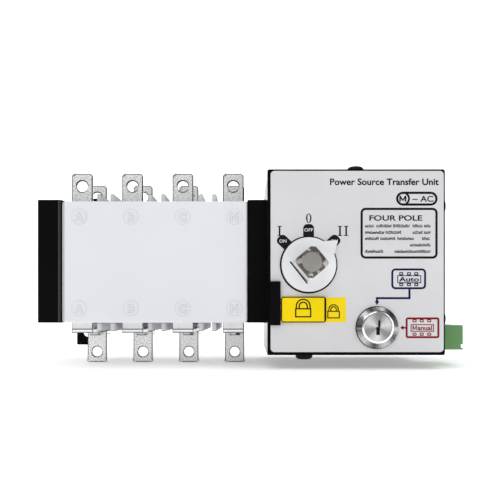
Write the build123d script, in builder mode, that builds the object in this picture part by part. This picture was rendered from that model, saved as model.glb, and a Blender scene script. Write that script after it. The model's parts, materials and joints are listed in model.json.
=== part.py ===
from build123d import *
import math
import os

# Four-pole changeover switch with a motor drive: a pole unit with two rows of contacts, one behind
# the other, beside a control box. Millimetres. X right, Y back, Z up. The origin is the middle of
# the four mounting holes, on the rear face of the base plate, and the front faces -Y.

os.makedirs("parts", exist_ok=True)

# Driving dimensions: the poles
POLE_COUNT = 4
POLE_PITCH = 30.0
FIRST_POLE_X = -101.5
BAR_WIDTH = 12.5
BAR_THICK = 2.5
BAR_HOLE = 6.5
CASE_LEFT, CASE_RIGHT = -110.6, -3.1
CASE_TOP = 35.3
CASE_WALL_Z = 6.3
CHAMBER_HALF_WIDTH = 6.8
COVER_FRONT = -100.0
FRONT_CASE_Y = (-97.0, -58.0)
REAR_CASE_Y = (-58.0, -12.0)
UNIT_STEP = 39.0
FRONT_BAR_Y = -89.0
REAR_BAR_Y = FRONT_BAR_Y + UNIT_STEP

# Driving dimensions: the contact shafts
SHAFT_Z = -4.0
FRONT_SHAFT_Y = -76.0
REAR_SHAFT_Y = FRONT_SHAFT_Y + UNIT_STEP
DRUM_RADIUS = 8.0
STUB_RADIUS = 4.0
CONTACT_SWING = 50.0

# Driving dimensions: steelwork and control box
PLATE = 2.0
SHEET = 1.2
FIX_X, FIX_Z = 119.0, 44.0
FIX_HOLE = 7.0
LUG_WIDTH = 16.0
LUG_TOP = 53.0
BRACKET_TOP, BRACKET_BOTTOM = 36.2, -35.3
BRACKET_FRONT = -99.0
BOX_LEFT, BOX_RIGHT = 8.5, 110.1
BOX_TOP, BOX_BOTTOM = 52.7, -53.7
BOX_FRONT = -105.0
FACE_THICK = 0.3
PANEL_BACK = BOX_FRONT + FACE_THICK + SHEET

# Driving dimensions: the drive
MODULE = 1.0
SELECTOR_X, SELECTOR_Z = 32.0, -2.0
PINION_TEETH, CONTACT_TEETH, MAIN_TEETH = 14, 28, 36
RACK_X = (12.5, SELECTOR_X - MODULE * PINION_TEETH / 2)
RACK_Y = (FRONT_SHAFT_Y + MODULE * CONTACT_TEETH / 2, REAR_SHAFT_Y - MODULE * CONTACT_TEETH / 2)
RACK_Z = (-16.0, 26.0)
MOTOR_X = SELECTOR_X + MODULE * (MAIN_TEETH + PINION_TEETH) / 2
SQUARE = 14.0
KEY_X, KEY_Z = 71.1, -37.9

# Fits
SLIP = 0.3
RUNNING_FIT = 0.05
BACKLASH = 0.25

pole_x = [FIRST_POLE_X + POLE_PITCH * i for i in range(POLE_COUNT)]
between_x = [x + POLE_PITCH / 2 for x in pole_x[:-1]]
shaft_rows = (("front", FRONT_SHAFT_Y), ("rear", REAR_SHAFT_Y))
CORNERS = [(sx, sz) for sx in (-1, 1) for sz in (-1, 1)]


def save(builder, name):
    """Labels the finished piece and writes it as parts/name.step."""
    builder.part.label = name
    export_step(builder.part, f"parts/{name}.step")


def block(x, y, z, mode=Mode.ADD):
    """Adds or cuts the box between the limits x, y and z in the open builder."""
    spans = [sorted(span) for span in (x, y, z)]
    with Locations(tuple(sum(span) / 2 for span in spans)):
        Box(*[high - low for low, high in spans], mode=mode)


def rod(start, end, radius, mode=Mode.ADD, sides=0):
    """Adds or cuts a round or many-sided rod between two points in the open builder."""
    along = Plane(origin=start, z_dir=Vector(*end) - Vector(*start))
    length = (Vector(*end) - Vector(*start)).length
    if sides:
        with BuildSketch(along) as outline:
            RegularPolygon(radius, sides)
        extrude(outline.sketch, amount=length, mode=mode)
    else:
        with Locations(along.location):
            Cylinder(radius, length, align=(Align.CENTER, Align.CENTER, Align.MIN), mode=mode)


# ---------------------------------------------------------------- base plate and brackets
with BuildPart() as base_plate:
    block((-FIX_X - LUG_WIDTH / 2, FIX_X + LUG_WIDTH / 2), (-PLATE, 0), (BRACKET_BOTTOM, BRACKET_TOP))
    block((-FIX_X - LUG_WIDTH / 2, -FIX_X + LUG_WIDTH / 2), (-PLATE, 0), (-LUG_TOP, LUG_TOP))
    block((BOX_LEFT, FIX_X + LUG_WIDTH / 2), (-PLATE, 0), (-LUG_TOP, LUG_TOP))
    for side_x, side_z in CORNERS:
        hole_x, hole_z = side_x * FIX_X, side_z * FIX_Z
        rod((hole_x, -PLATE, hole_z), (hole_x, 0, hole_z), FIX_HOLE / 2, Mode.SUBTRACT)
    outer_edges = base_plate.edges().filter_by(Axis.Y).group_by(Axis.X)
    fillet(outer_edges[0] + outer_edges[-1], 1)
save(base_plate, "base_plate")

TIE_ROWS = [(y, z) for y in (-70.0, -30.0) for z in (-32.2, 32.2)]
TIE_RADIUS = 2.0
BRACKETS = {"left": (CASE_LEFT, -1, 14.2), "right": (CASE_RIGHT, 1, BOX_LEFT - CASE_RIGHT)}


def bracket(side):
    """A folded channel beside the pole unit: web, front flange and rear foot."""
    face, outward, width = BRACKETS[side]
    web = (face, face + outward * PLATE)
    reach = (face, face + outward * width)
    height = (BRACKET_BOTTOM, BRACKET_TOP)
    with BuildPart() as channel:
        block(web, (BRACKET_FRONT, -PLATE), height)
        block(reach, (BRACKET_FRONT, BRACKET_FRONT + PLATE), height)
        block(reach, (-2 * PLATE, -PLATE), height)
        bend = channel.edges().filter_by(Axis.Z).group_by(Axis.X)[-1 if outward < 0 else 0]
        fillet(bend.sort_by(Axis.Y)[0], PLATE * 0.9)
        for _, shaft_y in shaft_rows:
            start, end = (face - outward, shaft_y, SHAFT_Z), (web[1] + outward, shaft_y, SHAFT_Z)
            rod(start, end, DRUM_RADIUS + RUNNING_FIT, Mode.SUBTRACT)
        for y, z in TIE_ROWS:
            rod((face - outward, y, z), (web[1] + outward, y, z), TIE_RADIUS + 0.1, Mode.SUBTRACT)
    return channel


for side in BRACKETS:
    save(bracket(side), f"{side}_bracket")

TIE_NUT_RADIUS = 3.5
TIE_NUT_THICK = 3.0
tie_left, tie_right = CASE_LEFT - PLATE, CASE_RIGHT + PLATE
with BuildPart() as tie_bolts:
    for y, z in TIE_ROWS:
        rod((tie_left - TIE_NUT_THICK - 1, y, z), (tie_right, y, z), TIE_RADIUS)
        rod((tie_right, y, z), (tie_right + TIE_NUT_THICK, y, z), TIE_NUT_RADIUS, sides=6)
save(tie_bolts, "tie_bolts")

with BuildPart() as tie_nuts:
    for y, z in TIE_ROWS:
        rod((tie_left - TIE_NUT_THICK, y, z), (tie_left, y, z), TIE_NUT_RADIUS, sides=6)
        rod((tie_left - TIE_NUT_THICK, y, z), (tie_left, y, z), TIE_RADIUS, Mode.SUBTRACT)
save(tie_nuts, "tie_nuts")

# ---------------------------------------------------------------- pole unit casings and cover
RIB_OFFSET = 3.9
RIB_THICK = 2.6
RIB_TOP = 40.3
RIB_FRONT = -94.0
CASE_BACK_WALL = 2.0
POCKET_HALF_WIDTH = POLE_PITCH / 2 - CHAMBER_HALF_WIDTH - 2.0


def unit_case(span, shaft_y, bar_y):
    """The moulded casing of one row of four poles, open at the front."""
    front, back = span
    rib_front = max(front, RIB_FRONT)
    with BuildPart() as case:
        block((CASE_LEFT, CASE_RIGHT), span, (-CASE_TOP, CASE_TOP))
        for x in between_x:
            for side_x in (-1, 1):
                rib_x = x + side_x * RIB_OFFSET
                with BuildSketch(Plane.XY.offset(-RIB_TOP)):
                    with Locations((rib_x, (rib_front + back) / 2)):
                        RectangleRounded(RIB_THICK, back - rib_front, RIB_THICK * 0.45)
                extrude(amount=2 * RIB_TOP)
        cells = [(x, CHAMBER_HALF_WIDTH) for x in pole_x]
        cells += [(x, POCKET_HALF_WIDTH) for x in between_x]
        for x, half in cells:
            cell_y = (front - 1, back - CASE_BACK_WALL)
            cell_z = (CASE_WALL_Z - CASE_TOP, CASE_TOP - CASE_WALL_Z)
            block((x - half, x + half), cell_y, cell_z, Mode.SUBTRACT)
        for x in pole_x:
            bar_x = (x - BAR_WIDTH / 2 - 0.1, x + BAR_WIDTH / 2 + 0.1)
            slot_y = (bar_y - 0.1, bar_y + BAR_THICK + 0.1)
            block(bar_x, slot_y, (-CASE_TOP - 1, CASE_TOP + 1), Mode.SUBTRACT)
        left, right = CASE_LEFT - 1, CASE_RIGHT + 1
        rod((left, shaft_y, SHAFT_Z), (right, shaft_y, SHAFT_Z), DRUM_RADIUS + SLIP, Mode.SUBTRACT)
        for y, z in TIE_ROWS:
            if front < y < back:
                rod((left, y, z), (right, y, z), TIE_RADIUS + 0.1, Mode.SUBTRACT)
    return case


save(unit_case(FRONT_CASE_Y, FRONT_SHAFT_Y, FRONT_BAR_Y), "front_unit_case")
save(unit_case(REAR_CASE_Y, REAR_SHAFT_Y, REAR_BAR_Y), "rear_unit_case")

MARK_RING = (4.4, 3.8)
MARK_HEIGHT = 0.25
MARK_ROWS = (26.2, -26.9)
MARK_SHIFT = 0.95
COVER_EDGE = 1.6
with BuildPart() as front_cover:
    block((CASE_LEFT, CASE_RIGHT), (COVER_FRONT, FRONT_CASE_Y[0]), (-CASE_TOP, CASE_TOP))
    fillet(front_cover.edges().filter_by(Axis.Y), 2.0)
    fillet(front_cover.faces().sort_by(Axis.Y)[0].edges(), COVER_EDGE)
    with BuildSketch(Plane.XZ.offset(-COVER_FRONT)):
        with Locations([(x + MARK_SHIFT, z) for x in pole_x for z in MARK_ROWS]):
            Circle(MARK_RING[0])
            Circle(MARK_RING[1], mode=Mode.SUBTRACT)
    extrude(amount=MARK_HEIGHT)
save(front_cover, "front_cover")

# ---------------------------------------------------------------- bars, arms and contacts
BAR_HALF = BAR_WIDTH / 2
LINE_TOP = 53.4
LINE_HOLE_Z = 45.8
LINE_BOTTOM = 8.0
BAR_CORNER = 2.0
FINGER_TOP = -15.0
BRIDGE_Z = (-41.5, -39.0)
BRIDGE_BACK = -36.0
LINK_FOOT_Y = (-60.0, REAR_BAR_Y)
LINK_FOOT_TOP = BRIDGE_Z[1] + BAR_THICK
LOAD_BOTTOM = -61.8
LOAD_HOLE_Z = -55.1
LOAD_FOOT_BOTTOM = BRIDGE_Z[0] - BAR_THICK
JOINT_SCREW_RADIUS = 2.0
JOINT_HEAD_RADIUS = 3.5
JOINT_HEAD_THICK = 2.6
JOINT_SCREWS = (
    ((LINK_FOOT_Y[0] + REAR_BAR_Y) / 2, BRIDGE_Z[0], LINK_FOOT_TOP),
    ((REAR_BAR_Y + BAR_THICK + BRIDGE_BACK) / 2, LOAD_FOOT_BOTTOM, BRIDGE_Z[1]),
)


def joint_screws(mode=Mode.ADD, heads=False):
    """The vertical screws that clamp the bridge bars, or their holes."""
    for x in pole_x:
        for y, under_head, tip in JOINT_SCREWS:
            rod((x, y, under_head), (x, y, tip), JOINT_SCREW_RADIUS, mode)
            if heads:
                rod((x, y, under_head - JOINT_HEAD_THICK), (x, y, under_head), JOINT_HEAD_RADIUS)


def line_bars(bar_y):
    """The four line terminal bars of one row, standing up through the casing."""
    with BuildPart() as bars:
        for x in pole_x:
            block((x - BAR_HALF, x + BAR_HALF), (bar_y, bar_y + BAR_THICK), (LINE_BOTTOM, LINE_TOP))
            hole = ((x, bar_y, LINE_HOLE_Z), (x, bar_y + BAR_THICK, LINE_HOLE_Z))
            rod(*hole, BAR_HOLE / 2, Mode.SUBTRACT)
        fillet(bars.edges().filter_by(Axis.Y).group_by(Axis.Z)[-1], BAR_CORNER)
    return bars


for row, bar_y in (("front", FRONT_BAR_Y), ("rear", REAR_BAR_Y)):
    save(line_bars(bar_y), f"line_bars_{row}")

with BuildPart() as bridge_bars:
    for x in pole_x:
        bar_x = (x - BAR_HALF, x + BAR_HALF)
        block(bar_x, (FRONT_BAR_Y, FRONT_BAR_Y + BAR_THICK), (BRIDGE_Z[0], FINGER_TOP))
        block(bar_x, (FRONT_BAR_Y, BRIDGE_BACK), BRIDGE_Z)
    bend_edges = bridge_bars.edges().filter_by(Axis.X).group_by(Axis.Z)[0].group_by(Axis.Y)[0]
    fillet(bend_edges, BAR_THICK * 0.7)
    joint_screws(Mode.SUBTRACT)
save(bridge_bars, "bridge_bars")

with BuildPart() as rear_link_bars:
    for x in pole_x:
        bar_x = (x - BAR_HALF, x + BAR_HALF)
        block(bar_x, (REAR_BAR_Y, REAR_BAR_Y + BAR_THICK), (BRIDGE_Z[1], FINGER_TOP))
        block(bar_x, LINK_FOOT_Y, (BRIDGE_Z[1], LINK_FOOT_TOP))
    joint_screws(Mode.SUBTRACT)
save(rear_link_bars, "rear_link_bars")

with BuildPart() as load_bars:
    for x in pole_x:
        bar_x = (x - BAR_HALF, x + BAR_HALF)
        block(bar_x, (REAR_BAR_Y, REAR_BAR_Y + BAR_THICK), (LOAD_BOTTOM, BRIDGE_Z[0]))
        block(bar_x, (REAR_BAR_Y, BRIDGE_BACK), (LOAD_FOOT_BOTTOM, BRIDGE_Z[0]))
        hole = ((x, REAR_BAR_Y, LOAD_HOLE_Z), (x, REAR_BAR_Y + BAR_THICK, LOAD_HOLE_Z))
        rod(*hole, BAR_HOLE / 2, Mode.SUBTRACT)
    fillet(load_bars.edges().filter_by(Axis.Y).group_by(Axis.Z)[0], BAR_CORNER / 2)
    joint_screws(Mode.SUBTRACT)
save(load_bars, "load_bars")

with BuildPart() as load_bar_screws:
    joint_screws(heads=True)
save(load_bar_screws, "load_bar_screws")

# ---------------------------------------------------------------- contacts and their shafts
# The arms are drawn closed. The rear row rests open, so its shaft starts turned back by the swing.
TIP_Z = SHAFT_Z + 18.3
TIP_RADIUS = 3.0
TIP_THICK = 1.4
ARM_FACE = -7.0
ARM_WIDTH = 6.0
ROOT_HALF = 2.5
ROOT_DEPTH = 1.0
ARM_SHOULDER = 9.5
ARM_TOP = 21.3
REST_TURN = {"front": 0.0, "rear": -CONTACT_SWING}
COLLECTOR_HALF = 4.0
COLLECTOR_THICK = 1.6
drum_span = (CASE_LEFT - PLATE - 1.0, 0.0)
stub_end = 20.0


def arm_sketch(shaft_y, x):
    """One arm's outline, seen along X, on a plane through its left side."""
    plane = Plane(origin=(x - ARM_WIDTH / 2, shaft_y, SHAFT_Z), x_dir=(0, 1, 0), z_dir=(1, 0, 0))
    with BuildSketch(plane) as outline:
        with BuildLine():
            Polyline(
                (-ROOT_HALF, -ROOT_DEPTH),
                (ROOT_HALF, -ROOT_DEPTH),
                (ROOT_HALF, ARM_SHOULDER),
                (ARM_FACE / 2, ARM_TOP),
                (ARM_FACE, ARM_TOP),
                (ARM_FACE, ARM_TOP - 2 * TIP_RADIUS),
                (-ROOT_HALF, ARM_SHOULDER),
                close=True,
            )
        make_face()
    return outline.sketch


def save_turned(builder, name, shaft_y, turn):
    """Turns a piece about its contact shaft and writes it."""
    piece = builder.part.rotate(Axis((0, shaft_y, SHAFT_Z), (1, 0, 0)), turn)
    piece.label = name
    export_step(piece, f"parts/{name}.step")


for row, shaft_y in shaft_rows:
    turn = REST_TURN[row]

    with BuildPart() as contact_arms:
        for x in pole_x:
            extrude(arm_sketch(shaft_y, x), amount=ARM_WIDTH)
    save_turned(contact_arms, f"contact_arms_{row}", shaft_y, turn)

    with BuildPart() as moving_contacts:
        for x in pole_x:
            face_y = shaft_y + ARM_FACE
            rod((x, face_y, TIP_Z), (x, face_y - TIP_THICK, TIP_Z), TIP_RADIUS)
    save_turned(moving_contacts, f"moving_contacts_{row}", shaft_y, turn)

    with BuildPart() as contact_shaft:
        rod((drum_span[0], shaft_y, SHAFT_Z), (drum_span[1], shaft_y, SHAFT_Z), DRUM_RADIUS)
        rod((drum_span[1], shaft_y, SHAFT_Z), (stub_end, shaft_y, SHAFT_Z), STUB_RADIUS)
        for x in pole_x:
            root_y = (shaft_y - ROOT_HALF, shaft_y + ROOT_HALF)
            root_z = (SHAFT_Z - ROOT_DEPTH, SHAFT_Z + DRUM_RADIUS + 1)
            block((x - ARM_WIDTH / 2, x + ARM_WIDTH / 2), root_y, root_z, Mode.SUBTRACT)
    save_turned(contact_shaft, f"contact_shaft_{row}", shaft_y, turn)

unit_spots = [(x, shaft_y) for _, shaft_y in shaft_rows for x in pole_x]
bar_rear_offset = FRONT_BAR_Y + BAR_THICK - FRONT_SHAFT_Y

with BuildPart() as fixed_contacts:
    for x, shaft_y in unit_spots:
        fixed_face = shaft_y + ARM_FACE - TIP_THICK - SLIP
        rod((x, shaft_y + bar_rear_offset, TIP_Z), (x, fixed_face, TIP_Z), TIP_RADIUS)
save(fixed_contacts, "fixed_contacts")

with BuildPart() as collectors:
    for x, shaft_y in unit_spots:
        strip_x = (x - COLLECTOR_HALF, x + COLLECTOR_HALF)
        strip_top = FINGER_TOP - 0.4
        tip_y = (shaft_y - COLLECTOR_THICK / 2, shaft_y + COLLECTOR_THICK / 2)
        strip_y = (shaft_y + bar_rear_offset, tip_y[1])
        block(strip_x, strip_y, (strip_top - COLLECTOR_THICK, strip_top))
        block(strip_x, tip_y, (strip_top, SHAFT_Z - DRUM_RADIUS - SLIP))
save(collectors, "collectors")

CHUTE_PLATES = 4
CHUTE_PITCH = 2.4
CHUTE_BOTTOM = 20.0
CHUTE_REACH = (-6.5, 11.0)
CHEEK = 1.0
with BuildPart() as arc_chutes:
    for _, shaft_y in shaft_rows:
        reach = (shaft_y + CHUTE_REACH[0], shaft_y + CHUTE_REACH[1])
        for x in pole_x:
            for side_x in (-1, 1):
                outer = x + side_x * CHAMBER_HALF_WIDTH
                block((outer, outer - side_x * CHEEK), reach, (CHUTE_BOTTOM, CASE_TOP - CASE_WALL_Z))
            for i in range(CHUTE_PLATES):
                plate_z = CHUTE_BOTTOM + CHUTE_PITCH * (i + 0.3)
                plate_x = (x - CHAMBER_HALF_WIDTH + CHEEK, x + CHAMBER_HALF_WIDTH - CHEEK)
                block(plate_x, reach, (plate_z, plate_z + 1.0))
                notch_y = (reach[0] - 1, reach[0] + 5)
                block((x - 2, x + 2), notch_y, (plate_z - 0.1, plate_z + 1.1), Mode.SUBTRACT)
save(arc_chutes, "arc_chutes")

# ---------------------------------------------------------------- gears and rack
PRESSURE_ANGLE = math.radians(20)
ADDENDUM = 0.8 * MODULE
DEDENDUM = 1.05 * MODULE
tooth_thick = math.pi * MODULE / 2 - BACKLASH


def involute(angle):
    """The involute function of a pressure angle."""
    return math.tan(angle) - angle


def tooth_sketch(teeth):
    """One stub involute tooth, centred on the sketch's X axis."""
    pitch = MODULE * teeth / 2
    base = pitch * math.cos(PRESSURE_ANGLE)
    root, tip = pitch - DEDENDUM, pitch + ADDENDUM
    start = max(root, base)

    def flank(radius, side):
        roll = involute(PRESSURE_ANGLE) - involute(math.acos(base / radius))
        angle = side * (tooth_thick / 2 / pitch + roll)
        return (radius * math.cos(angle), radius * math.sin(angle))

    inner = [(root - 0.3, flank(start, side)[1]) for side in (-1, 1)]
    with BuildSketch() as tooth:
        with BuildLine():
            Line(inner[0], flank(start, -1))
            ThreePointArc(flank(start, -1), flank((start + tip) / 2, -1), flank(tip, -1))
            Line(flank(tip, -1), flank(tip, 1))
            ThreePointArc(flank(tip, 1), flank((start + tip) / 2, 1), flank(start, 1))
            Line(flank(start, 1), inner[1])
            Line(inner[1], inner[0])
        make_face()
    return tooth.sketch


def gear(teeth, plane, width, bore, first_tooth=0.0):
    """A spur gear on a plane, extruded along its normal, with one tooth first_tooth degrees from X."""
    tooth = tooth_sketch(teeth)
    with BuildPart() as wheel:
        with BuildSketch(plane) as outline:
            Circle(MODULE * teeth / 2 - DEDENDUM)
            with PolarLocations(0, teeth, start_angle=first_tooth):
                add(tooth)
            Circle(bore, mode=Mode.SUBTRACT)
        extrude(amount=width)
    return wheel


CONTACT_GEAR_X = (13.0, 19.0)
for row, shaft_y in shaft_rows:
    gear_plane = Plane(
        origin=(CONTACT_GEAR_X[0], shaft_y, SHAFT_Z), x_dir=(0, 1, 0), z_dir=(1, 0, 0)
    )
    gear_width = CONTACT_GEAR_X[1] - CONTACT_GEAR_X[0]
    save(gear(CONTACT_TEETH, gear_plane, gear_width, STUB_RADIUS), f"contact_gear_{row}")

SELECTOR_PINION_Y = (-61.5, -51.5)
MAIN_GEAR_Y = (-97.0, -93.0)
REAR_JOURNAL = 4.5
FRONT_JOURNAL = 6.0


def front_plane(x, y, z):
    """A plane across the Y axis whose normal points to the front."""
    return Plane(origin=(x, y, z), x_dir=(1, 0, 0), z_dir=(0, -1, 0))


main_plane = front_plane(SELECTOR_X, MAIN_GEAR_Y[1], SELECTOR_Z)
main_width = MAIN_GEAR_Y[1] - MAIN_GEAR_Y[0]
save(gear(MAIN_TEETH, main_plane, main_width, FRONT_JOURNAL), "main_gear")

pinion_plane = front_plane(SELECTOR_X, SELECTOR_PINION_Y[1], SELECTOR_Z)
pinion_width = SELECTOR_PINION_Y[1] - SELECTOR_PINION_Y[0]
save(gear(PINION_TEETH, pinion_plane, pinion_width, REAR_JOURNAL), "selector_pinion")

MOTOR_SHAFT = 2.5
motor_plane = front_plane(MOTOR_X, MAIN_GEAR_Y[1], SELECTOR_Z)
half_tooth = 180 / PINION_TEETH
save(gear(PINION_TEETH, motor_plane, main_width, MOTOR_SHAFT, half_tooth), "motor_pinion")


def rack_teeth(middle, outward, across, width, gap_z):
    """Adds teeth down one face of the rack, with a gap centred at gap_z.

    middle is the pitch line's point on the plane Z = 0 and across the direction of the teeth."""
    pitch = math.pi * MODULE
    slope = math.tan(PRESSURE_ANGLE)
    first = math.ceil((RACK_Z[0] + pitch - gap_z) / pitch) + 0.5
    centre = gap_z + first * pitch - pitch
    while centre < RACK_Z[1] - pitch / 2:
        plane = Plane(origin=(*middle, centre), x_dir=outward, z_dir=across)
        with BuildSketch(plane) as tooth:
            with BuildLine():
                Polyline(
                    (-DEDENDUM, tooth_thick / 2 + DEDENDUM * slope),
                    (ADDENDUM, tooth_thick / 2 - ADDENDUM * slope),
                    (ADDENDUM, -tooth_thick / 2 + ADDENDUM * slope),
                    (-DEDENDUM, -tooth_thick / 2 - DEDENDUM * slope),
                    close=True,
                )
            make_face()
        extrude(tooth.sketch, amount=width / 2, both=True)
        centre += pitch


STEM_RADIUS = 3.0
RACK_STEM_TOP = 46.0
RACK_STEM_BOTTOM = -38.0
rack_mid = ((RACK_X[0] + RACK_X[1]) / 2, (RACK_Y[0] + RACK_Y[1]) / 2)
rack_core_y = (RACK_Y[0] + DEDENDUM, RACK_Y[1] - DEDENDUM)
with BuildPart() as drive_rack:
    block((RACK_X[0], RACK_X[1] - DEDENDUM), rack_core_y, RACK_Z)
    side_x = (CONTACT_GEAR_X[0] + CONTACT_GEAR_X[1]) / 2
    side_width = CONTACT_GEAR_X[1] - CONTACT_GEAR_X[0] + 1
    rack_teeth((side_x, RACK_Y[0]), (0, -1, 0), (1, 0, 0), side_width, SHAFT_Z)
    rack_teeth((side_x, RACK_Y[1]), (0, 1, 0), (1, 0, 0), side_width, SHAFT_Z)
    core_depth = rack_core_y[1] - rack_core_y[0]
    rack_teeth((RACK_X[1], rack_mid[1]), (1, 0, 0), (0, 1, 0), core_depth, SELECTOR_Z)
    rod((*rack_mid, RACK_Z[1]), (*rack_mid, RACK_STEM_TOP), STEM_RADIUS)
    rod((*rack_mid, RACK_Z[0]), (*rack_mid, RACK_STEM_BOTTOM), STEM_RADIUS)
save(drive_rack, "drive_rack")

# ---------------------------------------------------------------- control box
LID_FLANGE = 15.0
SCREW_BACK = 8.0
BOX_SCREW_RADIUS = 2.0
BOX_HEAD_RADIUS = 5.0
BOX_HEAD_HEIGHT = 2.9
BOX_SCREW_REACH = 6.0
screw_y = BOX_FRONT + SCREW_BACK
BOX_SCREWS = (
    ((60.0, screw_y, BOX_TOP), (0, 0, 1)),
    ((30.0, screw_y, BOX_BOTTOM), (0, 0, -1)),
    ((BOX_RIGHT, screw_y + 3.5, 33.0), (1, 0, 0)),
    ((BOX_RIGHT, screw_y + 3.5, -33.0), (1, 0, 0)),
)
shell_y = (PANEL_BACK, -PLATE)
BARREL_RADIUS = 9.0
BUSH_RADIUS = 9.5
PLUG_Y = (-85.0, -44.4)
PLUG_Z = (-51.7, -37.0)
HEADER_WALL = 1.2
cavity_y = (PLUG_Y[0] + HEADER_WALL, PLUG_Y[1] - HEADER_WALL)
cavity_z = (PLUG_Z[0] + HEADER_WALL, PLUG_Z[1] - HEADER_WALL)
TONGUE_X = (22.0, 30.4)
TONGUE_Z = (-30.0, -25.3)
LOCK_TRAVEL = 11.0


def box_screw_holes():
    """Cuts the lid screws' holes in the open builder."""
    for (x, y, z), (dx, _, dz) in BOX_SCREWS:
        inner = (x - dx * BOX_SCREW_REACH, y, z - dz * BOX_SCREW_REACH)
        rod(inner, (x + dx, y, z + dz), BOX_SCREW_RADIUS, Mode.SUBTRACT)


def panel_openings(front, back):
    """Cuts the shaft hole, the key switch hole and the lock slot between two depths."""
    rod((SELECTOR_X, front, SELECTOR_Z), (SELECTOR_X, back, SELECTOR_Z), BUSH_RADIUS, Mode.SUBTRACT)
    rod((KEY_X, front, KEY_Z), (KEY_X, back, KEY_Z), BARREL_RADIUS, Mode.SUBTRACT)
    slot_x = (TONGUE_X[0] - SLIP, TONGUE_X[1] + LOCK_TRAVEL + SLIP)
    block(slot_x, (front, back), (TONGUE_Z[0] - SLIP, TONGUE_Z[1] + SLIP), Mode.SUBTRACT)


with BuildPart() as box_shell:
    block((BOX_LEFT, BOX_RIGHT), shell_y, (BOX_BOTTOM, BOX_TOP))
    inside_z = (BOX_BOTTOM + SHEET, BOX_TOP - SHEET)
    through_y = (shell_y[0] - 1, shell_y[1] + 1)
    block((BOX_LEFT + SHEET, BOX_RIGHT - SHEET), through_y, inside_z, Mode.SUBTRACT)
    fillet(box_shell.edges().filter_by(Axis.Y).group_by(Axis.X)[-1], SHEET * 0.9)
    for _, shaft_y in shaft_rows:
        start, end = (BOX_LEFT - 1, shaft_y, SHAFT_Z), (BOX_LEFT + SHEET + 1, shaft_y, SHAFT_Z)
        rod(start, end, STUB_RADIUS + SLIP, Mode.SUBTRACT)
    block((BOX_RIGHT - SHEET - 1, BOX_RIGHT + 1), cavity_y, cavity_z, Mode.SUBTRACT)
    box_screw_holes()
save(box_shell, "box_shell")

with BuildPart() as front_panel:
    face_y = (PANEL_BACK, PANEL_BACK - SHEET)
    block((BOX_LEFT, BOX_RIGHT), face_y, (BOX_BOTTOM, BOX_TOP))
    fillet(front_panel.edges().filter_by(Axis.Y), 1.2)
    lid_x = (BOX_LEFT + SHEET, BOX_RIGHT - SHEET)
    lid_z = (BOX_BOTTOM + SHEET, BOX_TOP - SHEET)
    block(lid_x, (PANEL_BACK, PANEL_BACK + LID_FLANGE), lid_z)
    inner_x = (lid_x[0] + SHEET, lid_x[1] - SHEET)
    inner_z = (lid_z[0] + SHEET, lid_z[1] - SHEET)
    block(inner_x, (PANEL_BACK, PANEL_BACK + LID_FLANGE + 1), inner_z, Mode.SUBTRACT)
    panel_openings(BOX_FRONT, PANEL_BACK + 1)
    box_screw_holes()
save(front_panel, "front_panel")

FACE_X = (BOX_LEFT + 1.8, BOX_RIGHT - 0.8)
FACE_Z = (BOX_BOTTOM + 1.75, BOX_TOP - 1.0)
with BuildPart() as face_plate:
    block(FACE_X, (BOX_FRONT, BOX_FRONT + FACE_THICK), FACE_Z)
    fillet(face_plate.edges().filter_by(Axis.Y), 2.2)
    panel_openings(BOX_FRONT - 1, BOX_FRONT + FACE_THICK + 1)
save(face_plate, "face_plate")

with BuildPart() as box_screws:
    for (x, y, z), (dx, _, dz) in BOX_SCREWS:
        inner = (x - dx * BOX_SCREW_REACH, y, z - dz * BOX_SCREW_REACH)
        rod(inner, (x, y, z), BOX_SCREW_RADIUS)
        rod((x, y, z), (x + dx * BOX_HEAD_HEIGHT, y, z + dz * BOX_HEAD_HEIGHT), BOX_HEAD_RADIUS)
    rims = box_screws.edges().filter_by(GeomType.CIRCLE).filter_by(
        lambda edge: edge.radius == BOX_HEAD_RADIUS
        and max(
            edge.arc_center.X - BOX_RIGHT,
            edge.arc_center.Z - BOX_TOP,
            BOX_BOTTOM - edge.arc_center.Z,
        )
        > 1
    )
    fillet(rims, BOX_HEAD_HEIGHT * 0.8)
save(box_screws, "box_screws")

# ---------------------------------------------------------------- selector
SHAFT_FRONT = -128.0
DISC_FRONT = -108.0
DISC_BACK = BOX_FRONT - SLIP
DISC_RADIUS = 15.5
POINTER_ANGLE = 50.0
POINTER_REACH = 21.5
CAM_Y = (-44.0, -41.0)
CAM_RADIUS = 9.0
NOSE_RADIUS = 5.3
NOSE_SLOPE = 0.6
pointer_lean = math.radians(POINTER_ANGLE)


def turned_front(y):
    """A front plane on the selector's axis, with its X axis along the pointer at rest."""
    pointer = (math.sin(pointer_lean), 0, math.cos(pointer_lean))
    return Plane(origin=(SELECTOR_X, y, SELECTOR_Z), x_dir=pointer, z_dir=(0, -1, 0))


with BuildPart() as operating_shaft:
    with BuildSketch(turned_front(DISC_BACK)):
        RectangleRounded(SQUARE, SQUARE, 1.0)
    extrude(amount=DISC_BACK - SHAFT_FRONT)
    with BuildSketch(Plane(origin=(SELECTOR_X, 0, SELECTOR_Z))):
        with BuildLine():
            Polyline(
                (0, SHAFT_FRONT),
                (NOSE_RADIUS, SHAFT_FRONT),
                (SQUARE, SHAFT_FRONT + NOSE_SLOPE * (SQUARE - NOSE_RADIUS)),
                (SQUARE, DISC_BACK),
                (0, DISC_BACK),
                close=True,
            )
        make_face()
    revolve(axis=Axis((SELECTOR_X, 0, SELECTOR_Z), (0, 1, 0)), mode=Mode.INTERSECT)
    rod(
        (SELECTOR_X, MAIN_GEAR_Y[1], SELECTOR_Z), (SELECTOR_X, DISC_BACK, SELECTOR_Z), FRONT_JOURNAL
    )
    rod((SELECTOR_X, CAM_Y[1], SELECTOR_Z), (SELECTOR_X, MAIN_GEAR_Y[1], SELECTOR_Z), REAR_JOURNAL)
save(operating_shaft, "operating_shaft")

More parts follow.
